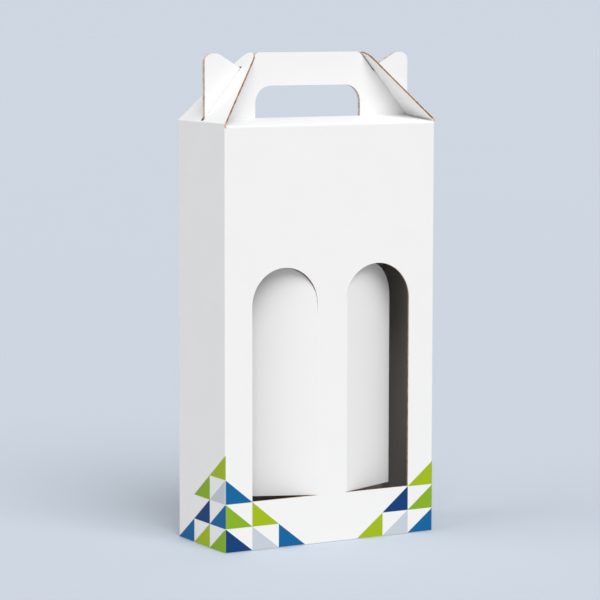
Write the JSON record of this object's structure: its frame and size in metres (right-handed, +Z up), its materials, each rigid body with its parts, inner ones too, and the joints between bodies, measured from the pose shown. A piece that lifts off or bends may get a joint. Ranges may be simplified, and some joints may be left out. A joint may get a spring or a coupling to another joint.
{
  "type": "bottle shipping box",
  "caption": "White corrugated carry box for bottles: arched windows with inward flaps, sloping roof, slotted end flaps and a handle with ears and a hand hole.",
  "frame": {"origin": "middle of the base, on the floor", "axes": "+X across the front, +Y towards the back, +Z up; the windows face -Y"},
  "size_m": [0.2072, 0.0861, 0.4211],
  "materials": {
    "board": "matte white liner on both faces, brown fluted core at the cut edges",
    "print_lime": "matte printed ink",
    "print_green": "matte printed ink",
    "print_blue": "matte printed ink",
    "print_navy": "matte printed ink",
    "print_pale": "matte printed ink"
  },
  "bodies": {
    "carton": {"carton_body": "board", "print_lime": "print_lime", "print_green": "print_green", "print_blue": "print_blue", "print_navy": "print_navy", "print_pale": "print_pale"},
    "side_flap_left": {"side_flap_left": "board"},
    "side_flap_right": {"side_flap_right": "board"},
    "window_flap_left": {"window_flap_left": "board"},
    "window_flap_right": {"window_flap_right": "board"}
  },
  "joints": [
    {"name": "side_flap_left_fold", "type": "hinge", "parent": "carton", "child": "side_flap_left", "pos_m": [-0.10265, 0, 0.3626], "axis": [0, -1, 0], "range_deg": [0, 130]},
    {"name": "side_flap_right_fold", "type": "hinge", "parent": "carton", "child": "side_flap_right", "pos_m": [0.10265, 0, 0.3626], "axis": [0, 1, 0], "range_deg": [0, 130]},
    {"name": "window_flap_left_fold", "type": "hinge", "parent": "carton", "child": "window_flap_left", "pos_m": [-0.0153, -0.04215, 0.125], "axis": [0, 0, -1], "range_deg": [-23, 67]},
    {"name": "window_flap_right_fold", "type": "hinge", "parent": "carton", "child": "window_flap_right", "pos_m": [0.0153, -0.04215, 0.125], "axis": [0, 0, 1], "range_deg": [-23, 67]}
  ]
}
